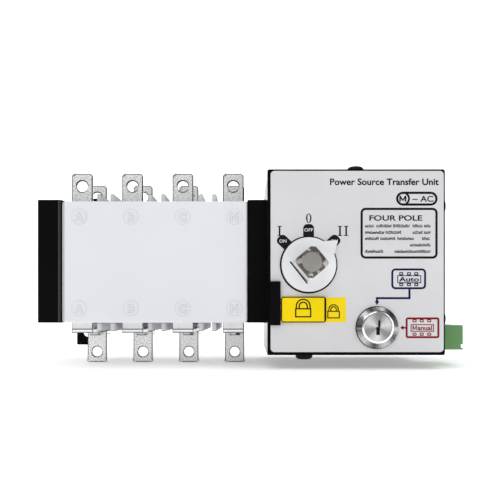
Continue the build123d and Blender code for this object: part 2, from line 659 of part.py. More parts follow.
with BuildPart() as pointer_disc:
    with BuildSketch(turned_front(DISC_BACK)):
        Circle(DISC_RADIUS)
        with BuildLine():
            Polyline((0, -DISC_RADIUS), (POINTER_REACH, 0), (0, DISC_RADIUS), close=True)
        make_face()
        RectangleRounded(SQUARE, SQUARE, 1.0, mode=Mode.SUBTRACT)
    extrude(amount=DISC_BACK - DISC_FRONT)
save(pointer_disc, "pointer_disc")

with BuildPart() as position_cam:
    with BuildSketch(turned_front(CAM_Y[1])):
        Circle(CAM_RADIUS)
        with Locations((0, CAM_RADIUS)):
            Circle(2.0, mode=Mode.SUBTRACT)
        Circle(REAR_JOURNAL, mode=Mode.SUBTRACT)
    extrude(amount=CAM_Y[1] - CAM_Y[0])
save(position_cam, "position_cam")

with BuildPart() as panel_bush:
    bush_y = (BOX_FRONT, PANEL_BACK + 2)
    start, end = (SELECTOR_X, bush_y[0], SELECTOR_Z), (SELECTOR_X, bush_y[1], SELECTOR_Z)
    rod(start, end, BUSH_RADIUS)
    rod((SELECTOR_X, PANEL_BACK, SELECTOR_Z), end, BUSH_RADIUS + 2)
    rod(start, end, FRONT_JOURNAL + RUNNING_FIT, Mode.SUBTRACT)
save(panel_bush, "panel_bush")

# ---------------------------------------------------------------- lock slide and key switch
SLIDE_X = (16.2, 41.9)
SLIDE_Z = (-35.0, -20.3)
SLIDE_THICK = 1.5
slide_back = BOX_FRONT - SLIP
keeper_front = PANEL_BACK + SLIP
with BuildPart() as lock_slide:
    block(SLIDE_X, (slide_back - SLIDE_THICK, slide_back), SLIDE_Z)
    fillet(lock_slide.edges().filter_by(Axis.Y), 1.0)
    block(TONGUE_X, (slide_back, keeper_front), TONGUE_Z)
save(lock_slide, "lock_slide")

KEEPER_MARGIN = 2.5
with BuildPart() as lock_keeper:
    block(
        (TONGUE_X[0] - KEEPER_MARGIN, TONGUE_X[1] + KEEPER_MARGIN),
        (keeper_front, keeper_front + 1.0),
        (TONGUE_Z[0] - KEEPER_MARGIN, TONGUE_Z[1] + KEEPER_MARGIN),
    )
save(lock_keeper, "lock_keeper")

GUIDE_X = (9.8, 15.9)
GUIDE_Z = (-36.6, -11.5)
with BuildPart() as lock_guide:
    block(GUIDE_X, (BOX_FRONT - 2.2, BOX_FRONT), GUIDE_Z)
    fillet(lock_guide.faces().sort_by(Axis.Y)[0].edges(), 0.6)
save(lock_guide, "lock_guide")

BEZEL_RADIUS = 11.9
RIM_RADIUS = 8.9
BEZEL_SLOPE = 2.1
BEZEL_FRONT = -108.5
KEY_FACE = -107.8
CYLINDER_RADIUS = 7.8
BARREL_END = -82.0
BORE_END = -88.0
KEY_SLOT = (((0.3, 1.5), (0.0, 4.2)), ((-0.9, 1.1), (-4.2, 0.4)))
KEY_SLOT_DEPTH = 10.0
NUT_Y = (PANEL_BACK, PANEL_BACK + 4.0)
BLOCK_HALF = 9.0
BLOCK_END = -62.0


def on_key_axis(y):
    """The point on the key switch's axis at depth y."""
    return (KEY_X, y, KEY_Z)


with BuildPart() as key_switch_body:
    bore = CYLINDER_RADIUS + RUNNING_FIT
    with BuildSketch(Plane(origin=on_key_axis(0), x_dir=(1, 0, 0), z_dir=(0, 0, 1))):
        with BuildLine():
            Polyline(
                (bore, BEZEL_FRONT),
                (RIM_RADIUS, BEZEL_FRONT),
                (BEZEL_RADIUS, BEZEL_FRONT + BEZEL_SLOPE),
                (BEZEL_RADIUS, BOX_FRONT),
                (BARREL_RADIUS, BOX_FRONT),
                (BARREL_RADIUS, BARREL_END),
                (0, BARREL_END),
                (0, BORE_END),
                (bore, BORE_END),
                close=True,
            )
        make_face()
    revolve(axis=Axis(on_key_axis(0), (0, 1, 0)))
save(key_switch_body, "key_switch_body")

with BuildPart() as key_switch_nut:
    rod(on_key_axis(NUT_Y[0]), on_key_axis(NUT_Y[1]), BEZEL_RADIUS + 0.6, sides=6)
    rod(on_key_axis(NUT_Y[0] - 1), on_key_axis(NUT_Y[1] + 1), BARREL_RADIUS, Mode.SUBTRACT)
save(key_switch_nut, "key_switch_nut")

with BuildPart() as key_contact_block:
    reach_x = (KEY_X - BLOCK_HALF, KEY_X + BLOCK_HALF)
    block(reach_x, (BARREL_END, BLOCK_END), (KEY_Z - BLOCK_HALF, KEY_Z + BLOCK_HALF))
    fillet(key_contact_block.edges().filter_by(Axis.Y), 1.5)
    for side_x, side_z in CORNERS:
        pin_x, pin_z = KEY_X + side_x * BLOCK_HALF / 2, KEY_Z + side_z * BLOCK_HALF / 2
        rod((pin_x, BLOCK_END, pin_z), (pin_x, BLOCK_END + 4, pin_z), 1.0)
save(key_contact_block, "key_contact_block")

with BuildPart() as key_cylinder:
    rod(on_key_axis(KEY_FACE), on_key_axis(BORE_END - SLIP), CYLINDER_RADIUS)
    slot_y = (KEY_FACE - 1, KEY_FACE + KEY_SLOT_DEPTH)
    for (left, right), (low, high) in KEY_SLOT:
        block((KEY_X + left, KEY_X + right), slot_y, (KEY_Z + low, KEY_Z + high), Mode.SUBTRACT)
save(key_cylinder, "key_cylinder")

# ---------------------------------------------------------------- mechanism inside the box
MECH_X = (12.5, 92.0)
MECH_Y = (-48.0, -45.0)
MECH_Z = (-46.0, 46.0)
GEARBOX_RADIUS = 18.0
GEARBOX_Y = (-91.0, -69.0)
MOTOR_RADIUS = 15.5
MOTOR_END = -24.0
GEAR_NOTCH_X = 21.5
STANDOFF_RADIUS = 4.0
STANDOFF_SPOTS = ((22.0, 40.0), (86.0, 40.0), (30.0, -41.0), (86.0, -41.0))
contact_notch = MODULE * CONTACT_TEETH / 2 + 2.0

with BuildPart() as mechanism_plate:
    block(MECH_X, MECH_Y, MECH_Z)
    fillet(mechanism_plate.edges().filter_by(Axis.Y), 3.0)
    notch_z = (SHAFT_Z - contact_notch, SHAFT_Z + contact_notch)
    block((MECH_X[0] - 1, GEAR_NOTCH_X), (MECH_Y[0] - 1, MECH_Y[1] + 1), notch_z, Mode.SUBTRACT)
    motor_hole = ((MOTOR_X, MECH_Y[0], SELECTOR_Z), (MOTOR_X, MECH_Y[1], SELECTOR_Z))
    rod(*motor_hole, MOTOR_RADIUS + 0.5, Mode.SUBTRACT)
    bush_hole = ((SELECTOR_X, MECH_Y[0], SELECTOR_Z), (SELECTOR_X, MECH_Y[1], SELECTOR_Z))
    rod(*bush_hole, REAR_JOURNAL + RUNNING_FIT, Mode.SUBTRACT)
save(mechanism_plate, "mechanism_plate")

GEARBOX_POSTS = 3
POST_RADIUS = 2.5
post_circle = GEARBOX_RADIUS + 2.0
post_angles = [math.radians(90 + 360 / GEARBOX_POSTS * i) for i in range(GEARBOX_POSTS)]
gearbox_spots = [
    (MOTOR_X + post_circle * math.cos(angle), SELECTOR_Z + post_circle * math.sin(angle))
    for angle in post_angles
]
BOARD_X = (97.4, 99.0)
BOARD_Y = (-88.0, -22.0)
BOARD_Z = (-51.7, 46.0)
BOARD_POSTS = [(y, z) for y in (-84.0, -28.0) for z in (-30.0, 40.0)]
inner_right = BOX_RIGHT - SHEET
with BuildPart() as standoffs:
    for x, z in STANDOFF_SPOTS:
        rod((x, MECH_Y[1], z), (x, -PLATE, z), STANDOFF_RADIUS, sides=6)
    for x, z in gearbox_spots:
        rod((x, GEARBOX_Y[1], z), (x, MECH_Y[0], z), POST_RADIUS)
    for y, z in BOARD_POSTS:
        rod((BOARD_X[1], y, z), (inner_right, y, z), STANDOFF_RADIUS - 1, sides=6)
save(standoffs, "standoffs")

GUIDE_TOP_Z = (28.0, 34.0)
GUIDE_BOTTOM_Z = (-36.0, -30.0)
GUIDE_HALF = 5.5
with BuildPart() as rack_guides:
    for span_z in (GUIDE_TOP_Z, GUIDE_BOTTOM_Z):
        guide_y = (rack_mid[1] - GUIDE_HALF, MECH_Y[0])
        block((MECH_X[0], MECH_X[0] + 2 * GUIDE_HALF + 1), guide_y, span_z)
        start, end = (*rack_mid, span_z[0]), (*rack_mid, span_z[1])
        rod(start, end, STEM_RADIUS + RUNNING_FIT, Mode.SUBTRACT)
save(rack_guides, "rack_guides")

SNOUT_RADIUS = 5.0
with BuildPart() as gearbox:
    rod((MOTOR_X, GEARBOX_Y[0], SELECTOR_Z), (MOTOR_X, GEARBOX_Y[1], SELECTOR_Z), GEARBOX_RADIUS)
    snout_end = (MOTOR_X, MAIN_GEAR_Y[1] + 0.5, SELECTOR_Z)
    rod(snout_end, (MOTOR_X, GEARBOX_Y[0], SELECTOR_Z), SNOUT_RADIUS)
    for x, z in gearbox_spots:
        rod((x, GEARBOX_Y[1] - 5, z), (x, GEARBOX_Y[1], z), POST_RADIUS + 2)
    bore_end = (MOTOR_X, GEARBOX_Y[0] + 4, SELECTOR_Z)
    rod(snout_end, bore_end, MOTOR_SHAFT + RUNNING_FIT, Mode.SUBTRACT)
save(gearbox, "gearbox")

with BuildPart() as drive_motor:
    rod((MOTOR_X, GEARBOX_Y[1], SELECTOR_Z), (MOTOR_X, MOTOR_END, SELECTOR_Z), MOTOR_RADIUS)
    fillet(drive_motor.edges().group_by(Axis.Y)[-1], 1.5)
    rod((MOTOR_X, MOTOR_END, SELECTOR_Z), (MOTOR_X, MOTOR_END + 3, SELECTOR_Z), SNOUT_RADIUS)
save(drive_motor, "drive_motor")

with BuildPart() as motor_shaft:
    front_end = (MOTOR_X, MAIN_GEAR_Y[0] - 1, SELECTOR_Z)
    rod(front_end, (MOTOR_X, GEARBOX_Y[0] + 4 - SLIP, SELECTOR_Z), MOTOR_SHAFT)
save(motor_shaft, "motor_shaft")

SWITCH_X = (22.0, 42.0)
SWITCH_DEPTH = 6.0
SWITCH_HEIGHT = 7.0
PLUNGER_GAP = 2.0
with BuildPart() as position_switches:
    for side_z in (-1, 1):
        near = SELECTOR_Z + side_z * (CAM_RADIUS + PLUNGER_GAP)
        switch_y = (MECH_Y[1], MECH_Y[1] + SWITCH_DEPTH)
        block(SWITCH_X, switch_y, (near, near + side_z * SWITCH_HEIGHT))
        plunger_y = (CAM_Y[0] + CAM_Y[1]) / 2
        tip = SELECTOR_Z + side_z * (CAM_RADIUS + SLIP)
        rod((SELECTOR_X, plunger_y, near), (SELECTOR_X, plunger_y, tip), 1.0)
save(position_switches, "position_switches")

# ---------------------------------------------------------------- electronics and terminals
with BuildPart() as controller_board:
    block(BOARD_X, BOARD_Y, BOARD_Z)
save(controller_board, "controller_board")

RELAY_SIZE = (15.0, 12.0, 26.0)
RELAY_Y = (-84.0, -70.0)
RELAY_BOTTOM = 8.0
with BuildPart() as relays:
    for y in RELAY_Y:
        relay_x = (BOARD_X[0] - RELAY_SIZE[0], BOARD_X[0])
        block(relay_x, (y, y + RELAY_SIZE[1]), (RELAY_BOTTOM, RELAY_BOTTOM + RELAY_SIZE[2]))
    fillet(relays.edges().group_by(Axis.X)[0], 0.8)
save(relays, "relays")

CAPACITOR_RADIUS = 6.0
CAPACITOR_LENGTH = 16.0
CAPACITOR_SPOTS = ((-80.0, -18.0), (-64.0, -18.0))
with BuildPart() as capacitors:
    for y, z in CAPACITOR_SPOTS:
        rod((BOARD_X[0] - CAPACITOR_LENGTH, y, z), (BOARD_X[0], y, z), CAPACITOR_RADIUS)
save(capacitors, "capacitors")

CORE_X, CORE_Z = (52.0, 80.0), (20.5, 44.0)
CORE_Y = (-62.0, MECH_Y[0])
COIL_MARGIN = 6.0
with BuildPart() as transformer:
    block(CORE_X, CORE_Y, CORE_Z)
    coil_x = (CORE_X[0] + COIL_MARGIN, CORE_X[1] - COIL_MARGIN)
    block(coil_x, (CORE_Y[0] - 5, CORE_Y[0]), (CORE_Z[0] + 2, CORE_Z[1] - 2))
save(transformer, "transformer")

WAY_COUNT = 8
WAY_PITCH = 5.08
HEADER_X = (BOARD_X[1], inner_right)
CAVITY_DEPTH = 7.0
PIN_RADIUS = 0.6
SOCKET_RADIUS = 0.9
PLUG_END = 126.6
plug_mid_y = (PLUG_Y[0] + PLUG_Y[1]) / 2
way_y = [plug_mid_y + WAY_PITCH * (i - (WAY_COUNT - 1) / 2) for i in range(WAY_COUNT)]
way_z = (cavity_z[0] + cavity_z[1]) / 2
cavity_back = inner_right - CAVITY_DEPTH
with BuildPart() as terminal_header:
    block(HEADER_X, PLUG_Y, PLUG_Z)
    block((cavity_back, inner_right + 1), cavity_y, cavity_z, Mode.SUBTRACT)
    for y in way_y:
        rod((cavity_back, y, way_z), (inner_right - 1.0, y, way_z), PIN_RADIUS)
save(terminal_header, "terminal_header")

plug_face = BOX_RIGHT + SLIP
ENTRY_SIZE = (3.6, 4.4)
SCREW_X = 121.0
SCREW_RADIUS = 1.9
SCREW_DEPTH = 4.0
PLUG_NOTCH = (1.2, 0.9, 3.2)
with BuildPart() as terminal_plug:
    block((plug_face, PLUG_END), PLUG_Y, PLUG_Z)
    tongue_y = (cavity_y[0] + SLIP, cavity_y[1] - SLIP)
    tongue_z = (cavity_z[0] + SLIP, cavity_z[1] - SLIP)
    block((cavity_back + SLIP, plug_face), tongue_y, tongue_z)
    notch_z = (PLUG_Z[0] + PLUG_NOTCH[1], PLUG_Z[0] + PLUG_NOTCH[2])
    notch_y = (PLUG_Y[0] - 1, PLUG_Y[1] + 1)
    block((PLUG_END - PLUG_NOTCH[0], PLUG_END + 1), notch_y, notch_z, Mode.SUBTRACT)
    for y in way_y:
        socket_end = cavity_back + CAVITY_DEPTH + 2
        rod((cavity_back, y, way_z), (socket_end, y, way_z), SOCKET_RADIUS, Mode.SUBTRACT)
        entry_y = (y - ENTRY_SIZE[0] / 2, y + ENTRY_SIZE[0] / 2)
        entry_z = (way_z - ENTRY_SIZE[1] / 2, way_z + ENTRY_SIZE[1] / 2)
        block((PLUG_END - 5.0, PLUG_END + 1), entry_y, entry_z, Mode.SUBTRACT)
        well = ((SCREW_X - 3, y, PLUG_Z[1] - SCREW_DEPTH), (SCREW_X - 3, y, PLUG_Z[1] + 1))
        rod(*well, SCREW_RADIUS, Mode.SUBTRACT)
save(terminal_plug, "terminal_plug")

with BuildPart() as plug_screws:
    for y in way_y:
        foot = (SCREW_X - 3, y, PLUG_Z[1] - SCREW_DEPTH)
        head = (SCREW_X - 3, y, PLUG_Z[1] - 1.0)
        rod(foot, head, SCREW_RADIUS - 0.1)
        slot_z = (PLUG_Z[1] - 1.8, PLUG_Z[1])
        block((foot[0] - 3, foot[0] + 3), (y - 0.3, y + 0.3), slot_z, Mode.SUBTRACT)
save(plug_screws, "plug_screws")

AUX_X = (CASE_LEFT - PLATE - 11.0, CASE_LEFT - PLATE)
AUX_Y = (-64.0, -34.0)
AUX_Z = (6.0, 26.0)
AUX_TERMINALS = 3
with BuildPart() as auxiliary_switch:
    block(AUX_X, AUX_Y, AUX_Z)
    fillet(auxiliary_switch.edges().group_by(Axis.X)[0], 0.8)
    for i in range(AUX_TERMINALS):
        terminal_y = AUX_Y[0] + (AUX_Y[1] - AUX_Y[0]) * (i + 0.5) / AUX_TERMINALS
        for terminal_z in (AUX_Z[0] + 4.5, AUX_Z[1] - 4.5):
            start = (AUX_X[0] - 1, terminal_y, terminal_z)
            rod(start, (AUX_X[0] + 2, terminal_y, terminal_z), 2.4, Mode.SUBTRACT)
save(auxiliary_switch, "auxiliary_switch")
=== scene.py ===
import json
import math
import random

import bmesh
import bpy
from mathutils import Matrix, Vector


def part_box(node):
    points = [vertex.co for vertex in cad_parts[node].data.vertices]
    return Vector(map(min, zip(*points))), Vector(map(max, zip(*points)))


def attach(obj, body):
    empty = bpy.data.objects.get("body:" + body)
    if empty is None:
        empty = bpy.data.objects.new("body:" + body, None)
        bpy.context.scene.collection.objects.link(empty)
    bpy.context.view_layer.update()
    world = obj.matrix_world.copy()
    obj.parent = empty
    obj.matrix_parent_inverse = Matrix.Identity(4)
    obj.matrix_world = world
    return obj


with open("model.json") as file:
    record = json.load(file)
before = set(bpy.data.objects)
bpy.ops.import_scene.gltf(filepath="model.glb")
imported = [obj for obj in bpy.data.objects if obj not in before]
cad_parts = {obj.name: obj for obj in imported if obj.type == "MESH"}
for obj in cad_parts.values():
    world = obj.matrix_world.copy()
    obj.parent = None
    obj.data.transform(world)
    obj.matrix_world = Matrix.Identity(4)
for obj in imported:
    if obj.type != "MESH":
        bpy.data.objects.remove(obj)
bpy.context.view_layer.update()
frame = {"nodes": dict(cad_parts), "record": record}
nodes = frame["nodes"]
random.seed(7)

MM = 0.001
HOUSING = "housing"

# Places on the front, in millimetres, with X to the right and Z up.
POLE_X = [-101.5, -71.5, -41.5, -11.5]
MARK_SHIFT = 0.95
MARKS = "ABCN"
MARK_ROWS = (26.2, -26.9)
SELECTOR = (32.0, -2.0)
KEY = (71.1, -37.9)
PANEL_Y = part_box("face_plate")[0].y / MM
COVER_Y = -100.0
INK = 0.05


# ---------------------------------------------------------------- node helpers
class Nodes:
    """A small wrapper that makes and links a material's nodes."""

    def __init__(self, name):
        self.material = bpy.data.materials.new(name)
        self.material.use_nodes = True
        self.tree = self.material.node_tree
        self.shader = self.tree.nodes["Principled BSDF"]
        self.coords = self.tree.nodes.new("ShaderNodeTexCoord").outputs["Object"]

    def put(self, socket, value):
        if isinstance(value, bpy.types.NodeSocket):
            self.tree.links.new(value, socket)
        else:
            socket.default_value = value

    def node(self, kind, inputs=None, **settings):
        made = self.tree.nodes.new(kind)
        for key, value in settings.items():
            setattr(made, key, value)
        for key, value in (inputs or {}).items():
            self.put(made.inputs[key], value)
        return made

    def mapped(self, scale=(1, 1, 1), centre=(0, 0, 0)):
        moved = self.node("ShaderNodeVectorMath", {0: self.coords, 1: centre}, operation="SUBTRACT")
        scaled = self.node("ShaderNodeVectorMath", {0: moved.outputs[0], 1: scale}, operation="MULTIPLY")
        return scaled.outputs[0]

    def noise(self, scale, detail=4.0, rough=0.5, vector=None, distort=0.0):
        inputs = {"Scale": scale, "Detail": detail, "Roughness": rough, "Distortion": distort}
        inputs["Vector"] = vector or self.coords
        return self.node("ShaderNodeTexNoise", inputs).outputs["Fac"]

    def spread(self, value, low, high, out_low=0.0, out_high=1.0):
        inputs = {"Value": value, "From Min": low, "From Max": high, "To Min": out_low, "To Max": out_high}
        return self.node("ShaderNodeMapRange", inputs).outputs["Result"]

    def math(self, operation, a, b):
        return self.node("ShaderNodeMath", {0: a, 1: b}, operation=operation).outputs[0]

    def mix(self, factor, a, b):
        mixed = self.node("ShaderNodeMix", data_type="RGBA")
        for key, value in ((0, factor), (6, a), (7, b)):
            self.put(mixed.inputs[key], value)
        return mixed.outputs[2]

    def edges(self, radius, low=0.02, high=0.25):
        """1 on convex or concave edges, 0 on flat stretches."""
        bevel = self.node("ShaderNodeBevel", {"Radius": radius}, samples=4)
        normal = self.node("ShaderNodeNewGeometry").outputs["Normal"]
        dot = self.node("ShaderNodeVectorMath", {0: bevel.outputs[0], 1: normal}, operation="DOT_PRODUCT")
        return self.spread(self.math("SUBTRACT", 1.0, dot.outputs["Value"]), low, high)

    def bump(self, height, strength, distance):
        inputs = {"Height": height, "Strength": strength, "Distance": distance}
        self.put(self.shader.inputs["Normal"], self.node("ShaderNodeBump", inputs).outputs[0])

    def finish(self, colour, roughness, metallic=0.0, **others):
        self.put(self.shader.inputs["Base Color"], colour)
        self.put(self.shader.inputs["Roughness"], roughness)
        self.shader.inputs["Metallic"].default_value = metallic
        for key, value in others.items():
            self.shader.inputs[key.replace("_", " ")].default_value = value
        return self.material


def rgb(red, green, blue):
    return (red, green, blue, 1.0)


def moulded(name, colour, shade=0.9, rough=(0.42, 0.58), grain=1800, depth=0.00003, specular=0.4):
    """Moulded plastic: fine spark-eroded grain, slow colour drift and faint scuffs."""
    n = Nodes(name)
    drift = n.spread(n.noise(18, 3), 0.35, 0.65)
    scuffs = n.spread(n.noise(140, 6, 0.7, n.mapped((1, 1, 0.12))), 0.62, 0.72)
    darker = rgb(*[c * shade for c in colour])
    base = n.mix(n.math("MULTIPLY", drift, 0.5), rgb(*colour), darker)
    base = n.mix(n.math("MULTIPLY", scuffs, 0.25), base, darker)
    shine = n.math("ADD", n.spread(n.noise(60, 4), 0.3, 0.7, *rough), n.math("MULTIPLY", scuffs, 0.1))
    n.bump(n.noise(grain, 2), 0.35, depth)
    return n.finish(base, shine, Specular_IOR_Level=specular)


def coated(name, colour, worn, rough=(0.3, 0.46), wear=0.35, peel=900, specular=0.5):
    """Powder-coated or painted steel: orange peel, dust, and thin wear on its edges."""
    n = Nodes(name)
    patches = n.spread(n.noise(90, 5, 0.7), 0.48, 0.7)
    edge = n.math("MULTIPLY", n.edges(0.0005), n.math("MULTIPLY", patches, wear))
    dust = n.spread(n.noise(35, 5), 0.4, 0.8, 0.0, 0.25)
    base = n.mix(dust, rgb(*colour), rgb(*[min(1.0, c * 1.25 + 0.002) for c in colour]))
    base = n.mix(edge, base, rgb(*worn))
    scratch = n.spread(n.noise(420, 3, 0.6, n.mapped((1, 1, 0.05))), 0.66, 0.72, 0.0, 0.08)
    shine = n.math("ADD", n.spread(n.noise(50, 4), 0.3, 0.7, *rough), scratch)
    n.bump(n.noise(peel, 2), 0.25, 0.00004)
    return n.finish(base, shine, Specular_IOR_Level=specular)


def metal(name, colour, rough=(0.22, 0.38), grain=(1, 1, 0.04), tarnish=0.82, lines=900):
    """Bare or plated metal: drawn streaks along one direction, tarnish patches and tiny dents."""
    n = Nodes(name)
    streaks = n.noise(lines, 4, 0.6, n.mapped(grain))
    patches = n.spread(n.noise(70, 5, 0.6), 0.45, 0.75)
    base = n.mix(n.math("MULTIPLY", patches, 0.6), rgb(*colour), rgb(*[c * tarnish for c in colour]))
    shine = n.spread(streaks, 0.3, 0.7, *rough)
    shine = n.math("ADD", shine, n.math("MULTIPLY", patches, 0.1))
    n.bump(streaks, 0.12, 0.00003)
    return n.finish(base, shine, metallic=1.0)


def hammered(name, bright, dull):
    """Tin plate with a fine speckle of dull pits, and painted reflection that makes it duller towards the
    last pole.
    """
    n = Nodes(name)
    grains = n.spread(n.noise(1500, 2, 0.6), 0.46, 0.64)
    clouds = n.spread(n.noise(45, 4), 0.35, 0.7, 0.5, 1.0)
    across = n.node("ShaderNodeSeparateXYZ", {0: n.mapped((1, 1, 1))}).outputs["X"]
    # Painted reflection: the speckle grows along X, so the tin turns duller towards the last pole.
    share = n.math("MULTIPLY", clouds, n.spread(across, POLE_X[0] * MM, POLE_X[-1] * MM, 0.4, 1.1))
    base = n.mix(n.math("MULTIPLY", grains, share), rgb(*bright), rgb(*dull))
    n.bump(n.noise(900, 3), 0.35, 0.00006)
    return n.finish(base, n.spread(grains, 0.0, 1.0, 0.26, 0.46), metallic=0.55)


def brushed_disc(name, centre, colour, rough, sectors, dark=0.42, turn=0.0, rim=0.0):
    """Metal turned or brushed around an axis along Y, with painted reflections: sectors dark and bright in
    turn around it.
    """
    n = Nodes(name)
    at = n.mapped((1, 0, 1), (centre[0] * MM, 0, centre[1] * MM))
    parts = n.node("ShaderNodeSeparateXYZ", {0: at}).outputs
    angle = n.math("ARCTAN2", parts["Z"], parts["X"])
    radius = n.node("ShaderNodeVectorMath", {0: at}, operation="LENGTH").outputs["Value"]
    spokes = n.node("ShaderNodeCombineXYZ", {"X": angle, "Y": n.math("MULTIPLY", radius, 6.0)}).outputs[0]
    rays = n.noise(22, 5, 0.7, spokes)
    # Painted reflection: dark and bright sectors, streaked by the rays, mixed into the base colour.
    painted_sector_reflection = n.math("SINE", n.math("ADD", n.math("MULTIPLY", angle, sectors), turn), 0.0)
    glow = n.math("ADD", painted_sector_reflection, n.spread(rays, 0.3, 0.7, -0.5, 1.2))
    painted_reflection_tone = n.spread(glow, -0.9, 1.5)
    base = n.mix(painted_reflection_tone, rgb(*[c * dark for c in colour]), rgb(*colour))
    if rim:
        inside = n.spread(radius, (rim - 0.1) * MM, (rim + 0.1) * MM, 1.0, 0.0)
        base = n.mix(inside, base, rgb(0.97, 0.97, 0.97))
    n.bump(rays, 0.15, 0.00004)
    return n.finish(base, n.spread(rays, 0.3, 0.7, *rough), metallic=1.0)


def square_end(name, centre, flat, tip):
    """A milled shaft: its end has a plain round middle, corners mottled dark and bright as painted
    reflection, and sides painted near white as reflection.
    """
    n = Nodes(name)
    at = n.mapped((1, 0, 1), (centre[0] * MM, 0, centre[1] * MM))
    radius = n.node("ShaderNodeVectorMath", {0: at}, operation="LENGTH").outputs["Value"]
    depth = n.node("ShaderNodeSeparateXYZ", {0: n.mapped((1, 1, 1))}).outputs["Y"]
    corner = n.spread(radius, (flat - 0.15) * MM, (flat + 0.15) * MM)
    # Painted reflection: the shaft's sides behind the tip turn near white.
    side = n.spread(depth, tip + 1.8 * MM, tip + 2.2 * MM)
    corner = n.math("MULTIPLY", corner, n.math("SUBTRACT", 1.0, side))
    # Painted reflection: dark and bright patches on the corners.
    patches = n.spread(n.noise(260, 2, 0.5, distort=0.6), 0.5, 0.66)
    painted_reflection_mottle = n.mix(patches, rgb(0.1, 0.095, 0.09), rgb(0.6, 0.59, 0.575))
    plain = n.mix(n.noise(500, 3), rgb(0.36, 0.34, 0.32), rgb(0.43, 0.41, 0.39))
    plain = n.mix(side, plain, rgb(0.88, 0.87, 0.86))
    turned = n.math("MULTIPLY", radius, 9000.0)
    rings = n.node("ShaderNodeTexNoise", {"Scale": 1.0, "Vector": turned}).outputs[0]
    n.bump(rings, 0.1, 0.00003)
    return n.finish(n.mix(corner, plain, painted_reflection_mottle), n.spread(n.noise(90), 0.3, 0.7, 0.3, 0.45), metallic=0.85)


def ink(name, colour, spread=0.75):
    """Screen-printed ink, a little uneven; it also colours the painted shade and highlight strips."""
    n = Nodes(name)
    patchy = n.spread(n.noise(600, 4), 0.35, 0.75, 0.0, 0.6)
    base = n.mix(patchy, rgb(*colour), rgb(*[min(1.0, c * spread + 0.003) for c in colour]))
    n.bump(n.noise(2500, 2), 0.2, 0.00002)
    return n.finish(base, n.spread(n.noise(200), 0.3, 0.7, 0.42, 0.58), Specular_IOR_Level=0.2)


# ---------------------------------------------------------------- materials of the CAD nodes
materials = {
    "black_steel": coated(
        "black_powder_coat", (0.0018, 0.0018, 0.0024), (0.05, 0.05, 0.055), (0.42, 0.56), specular=0.05
    ),
    "zinc_steel": metal("zinc_plate", (0.62, 0.63, 0.65), (0.25, 0.42)),
    "black_screws": coated("black_oxide", (0.003, 0.003, 0.004), (0.1, 0.1, 0.1), specular=0.12),
    "white_moulding": moulded("white_moulding", (0.79, 0.805, 0.84), 0.955),
    "tinned_copper": hammered("tin_plate", (1.0, 1.0, 1.0), (0.58, 0.58, 0.585)),
    "copper": metal("copper_strip", (0.72, 0.4, 0.25), (0.25, 0.45)),
    "silver_contact": metal("silver_alloy", (0.86, 0.85, 0.82), (0.2, 0.35)),
    "arc_steel": metal("bare_steel", (0.42, 0.42, 0.43), (0.35, 0.55)),
    "shaft_moulding": moulded("dark_moulding", (0.06, 0.05, 0.045), 0.7),
    "panel_print": coated("panel_face", (0.69, 0.69, 0.705), (0.5, 0.5, 0.5), (0.34, 0.46), 0.4, 1600),
    "selector_white": moulded("selector_white", (0.84, 0.845, 0.87), 0.96, (0.3, 0.42)),
    "machined_steel": metal("machined_steel", (0.36, 0.355, 0.34), (0.3, 0.5), (1, 1, 1), 0.6, 500),
    "brass_bush": metal("turned_brass", (0.7, 0.5, 0.22), (0.2, 0.35)),
    "lock_yellow": coated(
        "yellow_paint", (0.96, 0.7, 0.0015), (0.5, 0.36, 0.02), (0.34, 0.46), 0.4, specular=0.12
    ),
    "black_plastic": moulded("black_plastic", (0.002, 0.002, 0.003), 0.7, (0.35, 0.5), specular=0.06),
    # Painted reflections: the key's bezel and face are dark and bright in sectors round the key.
    "key_chrome": brushed_disc("key_chrome", KEY, (0.62, 0.62, 0.63), (0.1, 0.24), 5.0, 0.12, 1.1, 9.0),
    "key_brushed": brushed_disc("key_face", KEY, (0.9, 0.9, 0.9), (0.24, 0.38), 3.0, 0.3, 0.4),
    "motor_casing": metal("plated_can", (0.5, 0.5, 0.51), (0.3, 0.45)),
    "board_green": moulded("solder_mask", (0.02, 0.13, 0.05), 0.7, (0.2, 0.35)),
    "relay_blue": moulded("relay_blue", (0.03, 0.1, 0.4), 0.8, (0.25, 0.4)),
    "plug_green": moulded("plug_green", (0.15, 0.345, 0.125), 0.85, (0.35, 0.5)),
    "plug_screw_steel": metal("screw_steel", (0.66, 0.66, 0.68), (0.25, 0.4)),
}
slot_of = {part["node"]: part["material_slot"] for part in frame["record"]["subparts"]}
# Painted shade: the unit cases behind the cover are greyer than the white cover.
case_moulding_painted_shade = moulded("case_moulding_painted_shade", (0.68, 0.685, 0.695), 0.82)
plain_tin = metal("plain_tin_plate", (0.9, 0.9, 0.9), (0.24, 0.4), (1, 1, 1), 0.7, 1100)
material_of = {
    "front_unit_case": case_moulding_painted_shade,
    "rear_unit_case": case_moulding_painted_shade,
    "bridge_bars": plain_tin,
    "rear_link_bars": plain_tin,
    "operating_shaft": square_end("square_shaft_end", SELECTOR, 5.3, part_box("operating_shaft")[0].y),
    "box_shell": coated("box_coat", (0.004, 0.004, 0.005), (0.06, 0.06, 0.065), (0.2, 0.3), specular=0.6),
}

# Materials that only the rounded edges of some nodes take, dark as painted shade along those edges.
bar_edge_painted_shade = metal("bar_edge_painted_shade", (0.03, 0.03, 0.03), (0.35, 0.5), (1, 1, 1), 0.5, 600)
rib_edge_painted_shade = moulded("rib_edge_painted_shade", (0.07, 0.07, 0.072), 0.6)

